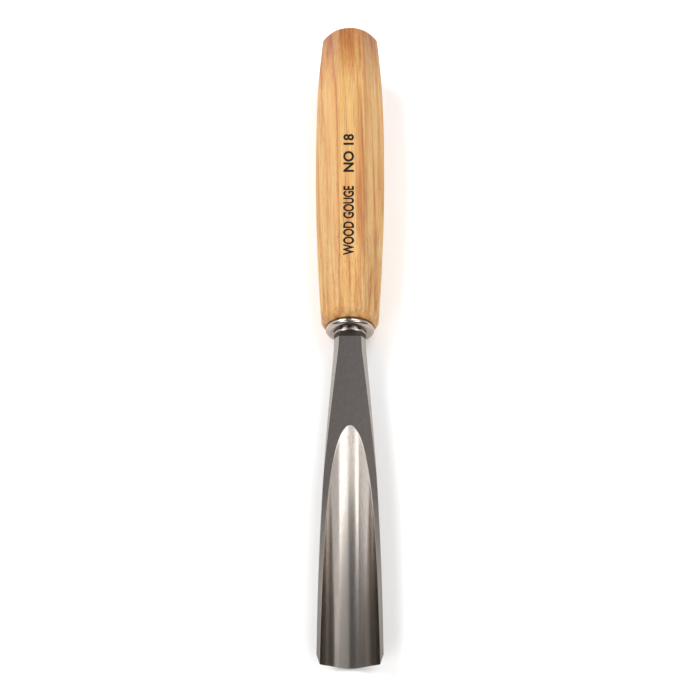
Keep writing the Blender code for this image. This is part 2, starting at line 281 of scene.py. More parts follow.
def ring_pattern(tree, place, x, y):
    """The season at a point, from 0 to 1, and its year's number: distance from the heart / spacing."""
    from_heart = add_node(tree, "CombineXYZ", None, X=x, Y=y, Z=0.0).outputs[0]
    radius = add_node(tree, "VectorMath", {"operation": "LENGTH"}, _0=from_heart).outputs["Value"]
    wander = noise(tree, stretched(tree, place, 8, 8, 90), 2.0)
    shift = worked_out(tree, "MULTIPLY", wander, RING_WANDER)
    year = worked_out(tree, "DIVIDE", worked_out(tree, "ADD", radius, shift), RING_SPACING)
    return worked_out(tree, "FRACT", year), worked_out(tree, "FLOOR", year)


def ash_finish():
    """Varnished ash: straight pale and tan lines, with short dark pores, under a soft shine."""
    finish, tree, shader = new_finish(
        "varnished_ash", Roughness=0.5, Coat_Weight=0.12, Coat_Roughness=0.32,
    )
    place = tool_millimetres(tree)
    xyz = add_node(tree, "SeparateXYZ", None, Vector=place).outputs
    drift = worked_out(tree, "MULTIPLY", xyz["Z"], RING_DRIFT)
    x = worked_out(tree, "ADD", worked_out(tree, "ADD", xyz["X"], drift), HEART_ACROSS)
    y = worked_out(tree, "ADD", xyz["Y"], HEART_BELOW)
    season, year_number = ring_pattern(tree, place, x, y)
    ring_colour = add_ramp(
        tree, season,
        [
            (0.0, "#a2602e"), (0.08, "#ad6f38"), (0.2, "#ba8c50"),
            (0.55, "#c5a267"), (0.93, "#c0985c"), (1.0, "#a2602e"),
        ],
    )
    # Some years are stronger than others.
    year_noise = add_node(tree, "TexWhiteNoise", {"noise_dimensions": "1D"}, W=year_number)
    year_strength = remapped(tree, year_noise.outputs["Value"], 0.0, 1.0, 0.1, 0.85)
    wood = mixed(tree, year_strength, linear("#c3a167"), ring_colour)
    # Fibres: fine streaks along the grain, 0.3 mm wide and a couple of centimetres long.
    fibre = noise(tree, stretched(tree, place, 0.3, 0.3, 18), 3.0, 0.6)
    fibre_colour = add_ramp(tree, fibre, [(0.3, "#dccbb4"), (0.52, "#ffffff"), (0.75, "#ffffff")])
    wood = stained(tree, 0.8, wood, fibre_colour)
    # Between the years, the wood keeps changing a little: soft lines a millimetre or so apart.
    drifted = add_node(tree, "CombineXYZ", None, X=x, Y=y, Z=xyz["Z"]).outputs[0]
    line = noise(tree, stretched(tree, drifted, 1.5, 2.4, 150), 3.0, 0.62)
    line_colour = add_ramp(
        tree, line, [(0.34, "#c08a5e"), (0.47, "#f3dfc8"), (0.56, "#ffffff"), (0.7, "#fff6e6")],
    )
    wood = stained(tree, 0.75, wood, line_colour)
    # Broad tints, warmer and cooler stretches.
    tint = noise(tree, stretched(tree, place, 5, 5, 70), 1.0)
    tint_colour = add_ramp(tree, tint, [(0.35, "#ffe9cf"), (0.5, "#ffffff"), (0.68, "#f2cfa6")])
    wood = stained(tree, 0.7, wood, tint_colour)
    # Pores: short dark dashes 0.2 mm wide, thick at the start of a year and few at its end.
    pore = noise(tree, stretched(tree, place, 0.22, 0.22, 3.5), 2.0)
    fewest = remapped(tree, season, 0.0, 0.35, 0.5, 0.64)
    pore_mask = remapped(tree, pore, fewest, 0.8, 0.0, 1.0)
    wood = mixed(tree, pore_mask, wood, linear("#86461f"))
    # The wood is darker in its last centimetres towards the butt.
    near_butt = remapped(tree, xyz["Z"], *BUTT_DARK, 0.0, 1.0)
    wood = stained(tree, near_butt, wood, linear("#dac6c0"))
    tree.links.new(wood, shader.inputs["Base Color"])
    tree.links.new(remapped(tree, fibre, 0.3, 0.7, 0.55, 0.42), shader.inputs["Roughness"])
    add_relief(tree, shader, worked_out(tree, "SUBTRACT", fibre, pore_mask), 0.25, 0.03)
    return finish


# %% [markdown]
# ## Steel for the blade
#
# The blade is one forging of tool steel with several finishes. The flat of the shank keeps a dark satin
# skin from heat treatment and blasting. The channel, the chamfers and the bevel are ground along the
# tool, and the channel is polished too, so they are bright, with faint lengthwise lines. The bolster is
# turned and polished, so its faint lines run round it.
#
# Steel has no colour of its own to speak of: the eye reads its finish from how sharply it mirrors the
# lights. So each finish is mostly a roughness, and its pattern varies that roughness a little.

# %% Steel finishes


def ground_steel(name, colour, roughness, across, along, depth, spread=0.06, streaks=0.6, duller=None):
    """Steel ground along the tool: lines across wide and along long, in mm, and depth deep.

    spread is how much the roughness varies, and streaks how strongly the colour does. duller is
    (from z, to z, roughness added at the first): a polish that gets finer along the tool.
    """
    finish, tree, shader = new_finish(name, Metallic=1.0)
    place = tool_millimetres(tree)
    lines = noise(tree, stretched(tree, place, across, across, along), 2.0)
    tint = add_ramp(tree, lines, [(0.3, "#d8d3cd"), (0.6, "#ffffff")])
    tree.links.new(stained(tree, streaks, linear(colour), tint), shader.inputs["Base Color"])
    dull = remapped(tree, lines, 0.3, 0.7, roughness + spread, roughness - spread)
    if duller:
        start, end, added = duller
        fade = remapped(tree, along_the_tool(tree, place), start, end, added, 0.0)
        dull = worked_out(tree, "ADD", dull, fade)
    tree.links.new(dull, shader.inputs["Roughness"])
    add_relief(tree, shader, lines, 0.3, depth)
    return finish


HONED = (-62.0, -92.0)       # mm along the tool: where honing starts to show, and where it is full


def satin_steel(name, dark, middle, light, honed_colour):
    """Dark satin skin: a fine even grain of about 0.15 mm under slow cloudy stains."""
    finish, tree, shader = new_finish(name, Metallic=1.0)
    place = tool_millimetres(tree)
    grain = noise(tree, stretched(tree, place, 0.16, 0.16, 0.2), 2.0)
    cloud = noise(tree, stretched(tree, place, 1.1, 1.1, 2.4), 4.0, 0.6)
    colour = add_ramp(tree, cloud, [(0.3, dark), (0.5, middle), (0.7, light)])
    speckle = add_ramp(tree, grain, [(0.3, "#d9d9d9"), (0.6, "#ffffff")])
    shade = stained(tree, 0.5, colour, speckle)
    # Honing brightens the narrow rims towards the edge.
    honed = remapped(tree, along_the_tool(tree, place), *HONED, 0.0, 1.0)
    shade = mixed(tree, honed, shade, linear(honed_colour))
    tree.links.new(shade, shader.inputs["Base Color"])
    tree.links.new(remapped(tree, cloud, 0.3, 0.7, 0.46, 0.38), shader.inputs["Roughness"])
    add_relief(tree, shader, grain, 0.3, 0.01)
    return finish


def turned_steel():
    """Polished turned steel, with faint lines that run round the tool."""
    finish, tree, shader = new_finish("turned_steel", Metallic=1.0)
    place = tool_millimetres(tree)
    lines = noise(tree, stretched(tree, place, 6, 6, 0.12), 3.0)
    tint = add_ramp(tree, lines, [(0.3, "#978c85"), (0.6, "#b3a79f")])
    tree.links.new(tint, shader.inputs["Base Color"])
    tree.links.new(remapped(tree, lines, 0.3, 0.7, 0.24, 0.14), shader.inputs["Roughness"])
    return finish


def ink_finish():
    """Black stamping ink, matt, with pale specks where the wood's fibres show through."""
    finish, tree, shader = new_finish("black_stamping_ink", Roughness=0.8, Specular_IOR_Level=0.2)
    place = tool_millimetres(tree)
    specks = noise(tree, stretched(tree, place, 0.25, 0.25, 1.2), 3.0)
    colour = add_ramp(tree, specks, [(0.3, "#0b0908"), (0.6, "#15100d"), (0.75, "#3a2a1e")])
    tree.links.new(colour, shader.inputs["Base Color"])
    return finish


ash = ash_finish()
# The flat of the shank: an even dark grey that hardly shines.
satin = satin_steel("satin_forged_steel", "#575250", "#5b5654", "#615c59", "#807b76")
# The scoop by the collar: painted dark reflection, its steel coloured almost black for the dark
# surroundings that it mirrors.
scale = satin_steel("painted_dark_reflection_steel", "#352f2d", "#3b3431", "#433b37", "#3b3431")
# The channel: close to a mirror, and a little duller at its apex, where the wheel lifts off.
polished = ground_steel(
    "polished_ground_steel", "#b9b1aa", roughness=0.18, across=0.3, along=60.0, depth=0.0004,
    spread=0.02, streaks=0.35, duller=(-39.0, -66.0, 0.1),
)
# Chamfers and bevel: pale and even, with lines that are just fine enough to scatter the light.
ground = ground_steel("ground_steel", "#9a9590", roughness=0.36, across=0.12, along=6.0, depth=0.006)
# The bolster: bright, with soft edged gleams that bend round it.
turned_finish = turned_steel()
# Tang and ferrule: dull grey with coarse tool marks, as they come from the saw and the file.
raw = ground_steel("raw_cut_steel", "#8d8984", roughness=0.45, across=0.3, along=1.5, depth=0.02)
print("finishes:", len(bpy.data.materials))

# %% [markdown]
# ## The handle
#
# The handle is an octagon that swells to a belly, with a rounded nose at the bolster and a domed butt.
# A lathe rounds the ends, so each end is the octagon trimmed by a round form. Its section at any place
# is the nearest of three surfaces to the axis: the octagon's flats, the nose's arc and the dome. The
# crease where the dome meets a flat is a curve, so each column of the grid gets its own stations,
# placed from its own crease. That keeps the crease sharp and even with few points.

# %% Handle: its section as a radius
FRONT_FLATS = 19.8           # across flats at the front end
BELLY_FLATS = 25.4
BUTT_FLATS = 21.2            # across flats where the dome starts
BELLY_AT = 76.0
BELLY_STRAIGHT = 8.0
DOME_RADIUS = 15.0
DOME_FLAT_RADIUS = 3.0
NOSE_RADIUS = 8.6            # of the front face
NOSE_ROUND = 7.0             # length of the rounded nose
NOSE_ARC = 10.0
FLAT_EDGE_EASE = 0.35        # mm over which the edges between flats are rounded
NOSE_EASE = 0.5              # the same where the nose meets the flats
DOME_EASE = 0.22             # and where the dome does
DOME_CENTRE = HANDLE_LENGTH - math.sqrt(DOME_RADIUS**2 - DOME_FLAT_RADIUS**2)
EIGHTH = math.pi / 4         # of a turn, from one flat to the next


def across_flats(z):
    """Octagon's width: a straight belly, and a parabola that falls from each of its ends."""
    front = BELLY_AT - BELLY_STRAIGHT / 2
    back = BELLY_AT + BELLY_STRAIGHT / 2
    dome_edge = DOME_CENTRE + math.sqrt(DOME_RADIUS**2 - (BUTT_FLATS / 2) ** 2)
    ahead = np.clip((front - z) / front, 0, None)
    behind = np.clip((z - back) / (dome_edge - back), 0, None)
    narrower = (BELLY_FLATS - FRONT_FLATS) * ahead**2 + (BELLY_FLATS - BUTT_FLATS) * behind**2
    return BELLY_FLATS - narrower


def octagon_radius(angle, z):
    """Distance to the nearest flat: a / cos(angle from its middle), eased towards the next flat."""
    from_middle = np.abs((angle + EIGHTH / 2) % EIGHTH - EIGHTH / 2)
    half = across_flats(z) / 2
    return smooth_low(half / np.cos(from_middle), half / np.cos(EIGHTH - from_middle), FLAT_EDGE_EASE)


def nose_radius(z):
    """The nose's arc up to its end, and clear of the wood behind it."""
    centre = NOSE_RADIUS - math.sqrt(NOSE_ARC**2 - NOSE_ROUND**2)
    arc = centre + np.sqrt(NOSE_ARC**2 - np.clip(NOSE_ROUND - z, 0, None) ** 2)
    return arc + np.clip(z - NOSE_ROUND, 0, None)


def dome_radius(z):
    """The dome's sphere, and clear of the wood ahead of its centre."""
    reach = np.clip(z - DOME_CENTRE, 0, DOME_RADIUS)
    return np.sqrt(DOME_RADIUS**2 - reach**2) + np.clip(DOME_CENTRE - z, 0, None)


def handle_radius(angle, z):
    """The lowest of octagon, nose and dome, rounded where two of them cross."""
    trimmed = smooth_low(octagon_radius(angle, z), nose_radius(z), NOSE_EASE)
    return smooth_low(trimmed, dome_radius(z), DOME_EASE)


# %% Handle: its grid
# Places across a flat, as shares of half its width. They crowd near the edges, which are rounded.
FLAT_SHARES = np.array(
    [-1, -0.985, -0.97, -0.95, -0.9, -0.6, -0.2, 0.2, 0.6, 0.9, 0.95, 0.97, 0.985]
)
FLATS = 8
FERRULE_SEAT = 7.6           # radius of the ferrule's seat in the front end
SEAT_DEPTH = 9.3
HOLE_DEPTH = 63.5
HOLE_ROOT_HALF = 3.8         # half the tang hole's width at the wood's front
HOLE_FALL = 0.02742          # how fast that half width falls with depth
NOSE_RINGS = 29
BODY_RINGS = 61
CREASE_RINGS = 17
CREASE_REACH = 4             # the crease's rings reach this many eases to each side of it
DOME_RINGS = 13
CREASE_ROUNDS = 30           # repeats that settle the place of the crease
CREASE_GUESS = 4             # mm ahead of the butt, where that search starts


def column_angles():
    """Angles round the handle, close together at the edges between the flats."""
    in_flat = np.arctan(math.tan(EIGHTH / 2) * FLAT_SHARES)
    return (np.arange(FLATS)[:, None] * EIGHTH + in_flat).ravel()


def ring_at(radius, angle, z):
    """Points of a ring, with a radius and a height for each angle."""
    return np.stack(np.broadcast_arrays(radius * np.cos(angle), radius * np.sin(angle), z), axis=-1)


def square_ring(half, angle, z):
    """A ring round a square: radius = half its width / the larger of |cos| and |sin|."""
    larger = np.maximum(np.abs(np.cos(angle)), np.abs(np.sin(angle)))
    return ring_at(half / larger, angle, z)


def dome_crease(angle):
    """Where the dome meets the flats, for each angle, by repeated substitution."""
    z = np.full_like(angle, HANDLE_LENGTH - CREASE_GUESS)
    for _ in range(CREASE_ROUNDS):
        z = DOME_CENTRE + np.sqrt(DOME_RADIUS**2 - octagon_radius(angle, z) ** 2)
    return z


def handle_rings():
    """All rings, (rings, points, 3): the tang's hole, the ferrule's seat, nose, body, crease, dome."""
    angle = column_angles()
    crease = dome_crease(angle)
    rings = [
        ring_at(0.0, angle, HOLE_DEPTH),
        square_ring(HOLE_ROOT_HALF - HOLE_FALL * HOLE_DEPTH, angle, HOLE_DEPTH),
        square_ring(HOLE_ROOT_HALF - HOLE_FALL * SEAT_DEPTH, angle, SEAT_DEPTH),
        ring_at(FERRULE_SEAT, angle, SEAT_DEPTH),
        ring_at(FERRULE_SEAT, angle, 0.0),
    ]
    for z in np.linspace(0, NOSE_ROUND, NOSE_RINGS):
        rings.append(ring_at(handle_radius(angle, z), angle, z))
    reach = CREASE_REACH * DOME_EASE
    near_crease = crease - reach
    for share in np.linspace(0, 1, BODY_RINGS)[1:]:
        z = NOSE_ROUND + (near_crease - NOSE_ROUND) * share
        rings.append(ring_at(handle_radius(angle, z), angle, z))
    for step in np.linspace(-CREASE_REACH, CREASE_REACH, CREASE_RINGS)[1:]:
        z = crease + step * DOME_EASE
        rings.append(ring_at(handle_radius(angle, z), angle, z))
    start = np.arcsin(dome_radius(crease + reach) / DOME_RADIUS)
    end = math.asin(DOME_FLAT_RADIUS / DOME_RADIUS)
    for share in np.linspace(0, 1, DOME_RINGS)[1:]:
        polar = start + (end - start) * share
        z = DOME_CENTRE + DOME_RADIUS * np.cos(polar)
        rings.append(ring_at(DOME_RADIUS * np.sin(polar), angle, z))
    rings.append(ring_at(DOME_FLAT_RADIUS / 2, angle, HANDLE_LENGTH))
    rings.append(ring_at(0.0, angle, HANDLE_LENGTH))
    return np.array(rings)


rings = handle_rings()
handle_faces = grid_faces(*rings.shape[:2])
handle = make_piece("ash_handle", rings.reshape(-1, 3), handle_faces, [ash], sharp=40)

# %% [markdown]
# ## Stamped lettering
#
# Gouges carry their kind and width on the top flat, stamped in black so that they can be told apart in
# a rack. The words here are plain ones. The letters are a text object turned to a mesh, as thin closed
# bodies. Their baseline runs along the handle, and each point is set on the flat, which curves gently,
# so that the ink follows the wood.

# %% Lettering on the top flat
LETTER_HEIGHT = 3.9
LETTER_SINK = 0.04           # how far the letters reach into the wood
LETTER_STAND = 0.015         # and above it
LETTER_BOLDNESS = 0.032      # outward offset of each outline, as a share of the letter size
LETTER_MIDDLE = 0.5          # across the tool, from its middle plane
TEXT_DEPTH = 0.5             # of the raw text, before it is fitted to the flat
STAMPS = (("WOOD GOUGE", 22.5, 50.7), ("NO 18", 56.7, 73.5))      # words, first mm, last mm


def letter_points(text, start, end):
    """A text's vertices and faces, from start to end along z, with its letters' tops at +x.

    Each point's share of the text's length, height and depth gives its z, its x, and its y on the flat.
    """
    curve = bpy.data.curves.new("letters", "FONT")
    curve.body = text
    curve.offset = LETTER_BOLDNESS
    curve.extrude = TEXT_DEPTH
    holder = bpy.data.objects.new("letters", curve)
    bpy.context.scene.collection.objects.link(holder)
    evaluated = holder.evaluated_get(bpy.context.evaluated_depsgraph_get())
    mesh = bpy.data.meshes.new_from_object(evaluated)
    flat = np.empty(3 * len(mesh.vertices))
    mesh.vertices.foreach_get("co", flat)
    faces = [tuple(face.vertices) for face in mesh.polygons]
    bpy.data.objects.remove(holder)
    flat = flat.reshape(-1, 3)
    low, high = flat.min(axis=0), flat.max(axis=0)
    share = (flat - low) / (high - low)
    z = start + (end - start) * share[:, 0]
    x = LETTER_MIDDLE + LETTER_HEIGHT * (share[:, 1] - 0.5)
    y = across_flats(z) / 2 - LETTER_SINK + (LETTER_SINK + LETTER_STAND) * share[:, 2]
    return np.column_stack([x, y, z]), faces


def make_lettering():
    """All the words as one piece: the faces of a word count on from the points before it."""
    points, faces = [], []
    for text, start, end in STAMPS:
        more_points, more_faces = letter_points(text, start, end)
        first = sum(len(part) for part in points)
        points.append(more_points)
        faces += [tuple(first + corner for corner in face) for face in more_faces]
    return make_piece("stamped_lettering", np.concatenate(points), faces, [ink_finish()])


lettering = make_lettering()

# %% [markdown]
# ## The blade
#
# Behind the channel the blade is solid, and ahead of it the section is a U. One grid can hold both: the
# points that lie in the channel are squeezed onto the middle of the flat behind the channel's apex, and
# spread out as the channel opens. The rim of the channel grows with the square root of the distance
# from the apex, so the sections there are spaced by squares, which spreads the rim's points evenly.
#
# Half a section is worked out, from the middle of the channel's floor out over the rim, the flat, the
# chamfer and the side to the middle of the underside, and then mirrored.

# %% Blade: driving sizes
NECK_WIDTH = 10.95
FLARE_START = 9.0            # from the wood to where the neck starts to flare
SHANK_FLARE = 0.146          # growth of the width for each unit along the shank
NECK_BLEND = 0.5             # softness of the join between neck and flare
FLARE_BLEND = 6.0            # and between the flare and the full width
EDGE_WIDTH = 18.0            # corner to corner: the gouge's size
EDGE_DEPTH = 9.0
WALL = 1.05                  # thickness of the wings at the bevel
NECK_UNDERSIDE = 4.8         # underside of the neck below the tool's axis
NECK_SIDE = 0.5              # lower end of its upright sides, below the axis
NECK_CHAMFER = 1.75          # chamfer across the neck, and down it
NECK_CHAMFER_DROP = 2.5
CHAMFER_LENGTH = 50.0        # the chamfers fade out over this length
LAND_CHAMFER = 0.12          # what is left of them on the wings
SIDE_LEFT = 0.25             # shortest upright stretch of the sides
BEVEL_LENGTH = 2.7
EDGE_THICKNESS = 0.1
CHANNEL_START = 38.4         # from the wood to the channel's apex
CHANNEL_STEEPNESS = 1.34     # slope of the floor at the apex, over its mean slope
CHANNEL_SWELL = 21.9         # length behind the edge over which the channel's radius grows
CHANNEL_TAPER = 0.3          # how much smaller that radius is behind that length
EDGE_SETBACK = 0.42          # how far the walls' edge lies behind a square cut, halfway up
RIM_EASE = 0.05              # the channel's rims are eased by this much
RIM_EASE_SHARE = 0.2         # but by no more than this share of the channel's half width
RIM_CORNER = 0.3             # place of the eased rim's middle point, as a share of the ease
CHAMFER_SHARE = 0.3          # the chamfer takes no more than this share of the flat
NECK = 5.7                   # from the wood to where the scoop begins
EDGE_HALF = EDGE_WIDTH / 2
BEVEL_HALF = EDGE_HALF + WALL
BEVEL_START = BLADE_LENGTH - BEVEL_LENGTH
CHANNEL_LENGTH = BLADE_LENGTH - CHANNEL_START


def channel_depth(along):
    """Steepest at the apex and easing to the edge: depth = edge's (k s - (k - 1) s squared)."""
    share = np.clip((along - CHANNEL_START) / CHANNEL_LENGTH, 0, 1)
    return EDGE_DEPTH * share * (CHANNEL_STEEPNESS - (CHANNEL_STEEPNESS - 1) * share)


def channel_radius(along):
    """Full at the edge, and smaller by the taper from the end of the swell on."""
    return EDGE_HALF - CHANNEL_TAPER * np.clip((BLADE_LENGTH - along) / CHANNEL_SWELL, 0, 1)


def half_width(along):
    """A short parallel neck, an even flare, then the full width, with soft joins."""
    flare = NECK_WIDTH + SHANK_FLARE * (along - FLARE_START)
    from_neck = -smooth_low(-flare, -NECK_WIDTH, NECK_BLEND)
    return smooth_low(from_neck, 2 * BEVEL_HALF, FLARE_BLEND) / 2


# %% Blade: half a section
ARC_STEPS = 27               # from the middle of the floor to the rim
LAND_STEPS = 8               # across half the flat
CHAMFER_STEPS = 4
SIDE_STEPS = 4
UNDER_STEPS = ARC_STEPS + 2 - CHAMFER_STEPS - SIDE_STEPS      # as many steps outside as inside


def half_section(along):
    """Arrays (sections, points, 2) of x and y, at distances along from the wood.

    The channel is an arc round (0, flat - depth + radius), up to the angle where it meets the flat.
    The underside is a quarter of an ellipse from the side down to the bottom, and the bottom and the
    sides move evenly from their places at the neck to their places at the edge.
    """
    along = along[:, None]
    radius = channel_radius(along)
    depth = channel_depth(along)
    centre = BLADE_TOP - depth + radius
    rim_angle = np.arccos(np.clip((centre - BLADE_TOP) / radius, 0, 1))
    rim_x = radius * np.sin(rim_angle)
    ease = np.minimum(RIM_EASE, RIM_EASE_SHARE * rim_x)
    swing = (rim_angle - ease / radius) * np.linspace(0, 1, ARC_STEPS + 1)
    arc = np.stack([radius * np.sin(swing), centre - radius * np.cos(swing)], axis=-1)
    rim = np.stack([rim_x + RIM_CORNER * ease, BLADE_TOP - RIM_CORNER * ease], axis=-1)

    grown = np.clip((along - NECK) / (BEVEL_START - NECK), 0, 1)
    fade = np.clip(1 - (along - NECK) / CHAMFER_LENGTH, 0, 1)
    lost = (WALL - EDGE_THICKNESS) * np.clip((along - BEVEL_START) / BEVEL_LENGTH, 0, 1)
    half = half_width(along) - lost
    chamfer = LAND_CHAMFER + (NECK_CHAMFER - LAND_CHAMFER) * fade
    drop = LAND_CHAMFER + (NECK_CHAMFER_DROP - LAND_CHAMFER) * fade
    chamfer = np.minimum(chamfer, CHAMFER_SHARE * (half - rim_x))
    edge_bottom = BLADE_TOP - EDGE_DEPTH - WALL
    bottom = -NECK_UNDERSIDE + (edge_bottom + NECK_UNDERSIDE) * grown + lost
    edge_side = BLADE_TOP - EDGE_DEPTH + EDGE_HALF
    side = -NECK_SIDE + (edge_side + NECK_SIDE) * grown**2
    side = np.minimum(side, BLADE_TOP - drop - SIDE_LEFT)

    inner, outer = rim_x + ease, half - chamfer
    across = inner + (outer - inner) * np.linspace(0, 1, LAND_STEPS + 1)
    land = np.stack([across, np.full_like(across, BLADE_TOP)], axis=-1)
    step = np.linspace(0, 1, CHAMFER_STEPS + 1)[1:]
    slope = np.stack([outer + chamfer * step, BLADE_TOP - drop * step], axis=-1)
    step = np.linspace(0, 1, SIDE_STEPS + 1)[1:]
    upright_y = BLADE_TOP - drop + (side - BLADE_TOP + drop) * step
    upright = np.stack(np.broadcast_arrays(half, upright_y), axis=-1)
    turn = np.linspace(0, math.pi / 2, UNDER_STEPS + 1)[1:]
    under = np.stack([half * np.cos(turn), side - (side - bottom) * np.sin(turn)], axis=-1)
    return np.concatenate([arc, rim, land, slope, upright, under], axis=1)


def whole_ring(half):
    """The half section and its mirror image, as one closed ring."""
    mirrored = half[:, -2:0:-1] * np.array([-1.0, 1.0, 1.0])
    return np.concatenate([half, mirrored], axis=1)


# %% Blade: sections from the neck to the edge
OPENING_END = 60.0           # from here on the rims are nearly straight
SHANK_SECTIONS, OPENING_SECTIONS, WING_SECTIONS, BEVEL_SECTIONS = 25, 41, 41, 7
SETBACK_LENGTH = 3 * BEVEL_LENGTH       # the swept back edge fades out over this length

shank = np.linspace(NECK, CHANNEL_START, SHANK_SECTIONS)
squares = np.linspace(0, 1, OPENING_SECTIONS)[1:] ** 2
opening = CHANNEL_START + (OPENING_END - CHANNEL_START) * squares
wing = np.linspace(OPENING_END, BEVEL_START, WING_SECTIONS)[1:]
bevel = np.linspace(BEVEL_START, BLADE_LENGTH, BEVEL_SECTIONS)[1:]
along = np.concatenate([shank, opening, wing, bevel])
section = half_section(along)


def set_back(section, along):
    """Each point's place along the tool: walls swept back by A sin(2 angle) squared near the edge."""
    centre = BLADE_TOP - channel_depth(along) + channel_radius(along)
    angle = np.arctan2(section[..., 0], centre[:, None] - section[..., 1])
    swept = EDGE_SETBACK * np.sin(2 * np.clip(angle, 0, math.pi / 2)) ** 2
    nearness = np.clip(1 - (BLADE_LENGTH - along) / SETBACK_LENGTH, 0, 1)
    return along[:, None] - swept * nearness[:, None]


half = np.concatenate([section, -set_back(section, along)[..., None]], axis=-1)
blade_rings = whole_ring(half)
print("blade sections:", blade_rings.shape[:2])

# %% [markdown]
# ### The scoop, the bolster and the tang
#
# Between the neck and the collar the shank is scooped out to a circle, and the bolster behind it is
# turned. Every ring there keeps the directions of the neck's ring and only changes the distance from
# the axis, so the grid runs through from the shank without a seam. The tang is the same again with a
# square for its section.

# %% Blade: rings behind the neck
COLLAR_RADIUS = 5.825
GROOVE_RADIUS = 5.325
BOLSTER_RADIUS = 8.45
SCOOP_START = -3.3           # the next heights are places along the tool, ahead of the wood
COLLAR_FRONT = -3.14
COLLAR_BACK = -3.1
GROOVE_FRONT = -2.8
GROOVE_BACK = -2.5
RING_BACK = -0.3
COLLAR_EASE = 0.03
GROOVE_EASE = 0.05
GROOVE_BOTTOM = 0.04         # length of the groove's rounded corner
BOLSTER_FACE_RISE = 0.7      # the ring's rounded front starts this far above the collar
BOLSTER_RIM = 0.9            # width of the ring's rim, and of the step behind it
RIM_STEPS = ((0.05, 0.6), (0.15, 0.2), (0.3, 0.0))      # the rim's fall, and the mm left to its back
FRONT_RINGS = 17
SCOOP_RINGS = 15
SCOOP_LENGTH = NECK + SCOOP_START
TANG_ROOT_HALF = 3.5
TANG_POINT_HALF = 1.8
TANG_LENGTH = 62.0

neck_ring = whole_ring(half[:1])[0]
distance = np.hypot(neck_ring[:, 0], neck_ring[:, 1])
direction = neck_ring[:, :2] / distance[:, None]


def turned_ring(radius, z):
    """A ring with the neck's directions. The radius is one number, or one for each point."""
    flat = direction * np.broadcast_to(radius, distance.shape)[:, None]
    return np.column_stack([flat, np.full(len(flat), z)])


def scoop_rings():
    """From the neck to the collar: radius = neck's (1 - s squared) + collar's s squared."""
    rings = []
    for share in np.linspace(0, 1, SCOOP_RINGS)[1:]:
        radius = distance * (1 + (COLLAR_RADIUS / distance - 1) * share**2)
        rings.append(turned_ring(radius, -NECK + SCOOP_LENGTH * share))
    return rings


def bolster_rings():
    """The collar, the groove, the ring's rounded front and rim, and the face on the wood.

    The rounded front is a quarter of an ellipse, from the groove's back to the rim.
    """
    profile = [
        (COLLAR_RADIUS, COLLAR_FRONT),
        (COLLAR_RADIUS - COLLAR_EASE, COLLAR_BACK),
        (GROOVE_RADIUS + GROOVE_EASE, GROOVE_FRONT),
        (GROOVE_RADIUS, GROOVE_FRONT + GROOVE_BOTTOM),
        (GROOVE_RADIUS, GROOVE_BACK),
    ]
    face = COLLAR_RADIUS + BOLSTER_FACE_RISE
    rim_at = RING_BACK - BOLSTER_RIM
    turn = np.linspace(math.pi / 2, 0, FRONT_RINGS)
    front_radius = face + (BOLSTER_RADIUS - face) * np.cos(turn)
    front_z = rim_at + (GROOVE_BACK - rim_at) * np.sin(turn)
    profile += zip(front_radius, front_z)
    profile += [(BOLSTER_RADIUS - fall, RING_BACK - left) for fall, left in RIM_STEPS]
    return [turned_ring(radius, z) for radius, z in profile]


def tang_rings():
    """A square at the wood, a smaller one at the tang's end, and the point that closes it."""
    square = 1 / np.abs(direction).max(axis=1)
    return [
        turned_ring(TANG_ROOT_HALF * square, RING_BACK),
        turned_ring(TANG_POINT_HALF * square, TANG_LENGTH),
        turned_ring(0.0, TANG_LENGTH),
    ]


behind = np.array(scoop_rings() + bolster_rings() + tang_rings())
rings = np.concatenate([behind[::-1], blade_rings])
print("rings behind the neck:", len(behind))

# %% Blade: the cap at the edge, the finishes and the mesh
inside = np.arange(ARC_STEPS + 3)
outside = np.arange(ARC_STEPS + 2 + LAND_STEPS, half.shape[1])[::-1]
print("steps inside and outside:", len(inside), len(outside))


def edge_cap():
    """Points between the outside and the inside of the last section, (points, steps across, 3)."""
    last = half[-1]
    share = np.linspace(0, 1, LAND_STEPS + 1)[None, :, None]
    right = last[inside][:, None] * (1 - share) + last[outside][:, None] * share
    left = right[::-1] * np.array([-1.0, 1.0, 1.0])
    return np.concatenate([left[:-1], right])


def open_faces(rows, columns, first):
    """Four-sided faces of a grid with open sides, whose point numbers start at first."""
    i, j = np.meshgrid(np.arange(rows - 1), np.arange(columns - 1), indexing="ij")
    here, behind = i * columns + j, (i + 1) * columns + j
    corners = [here, here + 1, behind + 1, behind]
    return first + np.stack(corners, axis=-1).reshape(-1, 4)


SATIN, POLISHED, GROUND, TURNED, RAW, PAINTED_DARK_REFLECTION = range(6)      # places in the blade's list of finishes
COLLAR_ROWS = 2              # rows of faces polished on each side of the collar's front
PAINTED_DARK_ROWS = 11              # rows of the scoop with the painted dark reflection


def blade_finishes():
    """The finish of each face of the ring grid: by its section first, then by its place round it."""
    rows, columns = rings.shape[0] - 1, rings.shape[1]
    number = np.arange(columns)
    number = np.minimum(number, columns - 1 - number)
    by_column = np.full(columns, SATIN)
    by_column[number < ARC_STEPS + 1] = POLISHED
    land_end = ARC_STEPS + 2 + LAND_STEPS
    by_column[(number >= land_end) & (number < land_end + CHAMFER_STEPS)] = GROUND
    by_row = np.tile(by_column, (rows, 1))
    tang, bolster = len(tang_rings()), len(bolster_rings())
    collar = tang + bolster
    polish_end = collar + COLLAR_ROWS
    by_row[:tang] = RAW
    by_row[tang:collar] = TURNED
    by_row[collar - COLLAR_ROWS : polish_end] = POLISHED
    # The scoop's rows get the steel with the painted dark reflection.
    by_row[polish_end : polish_end + PAINTED_DARK_ROWS] = PAINTED_DARK_REFLECTION
    return by_row


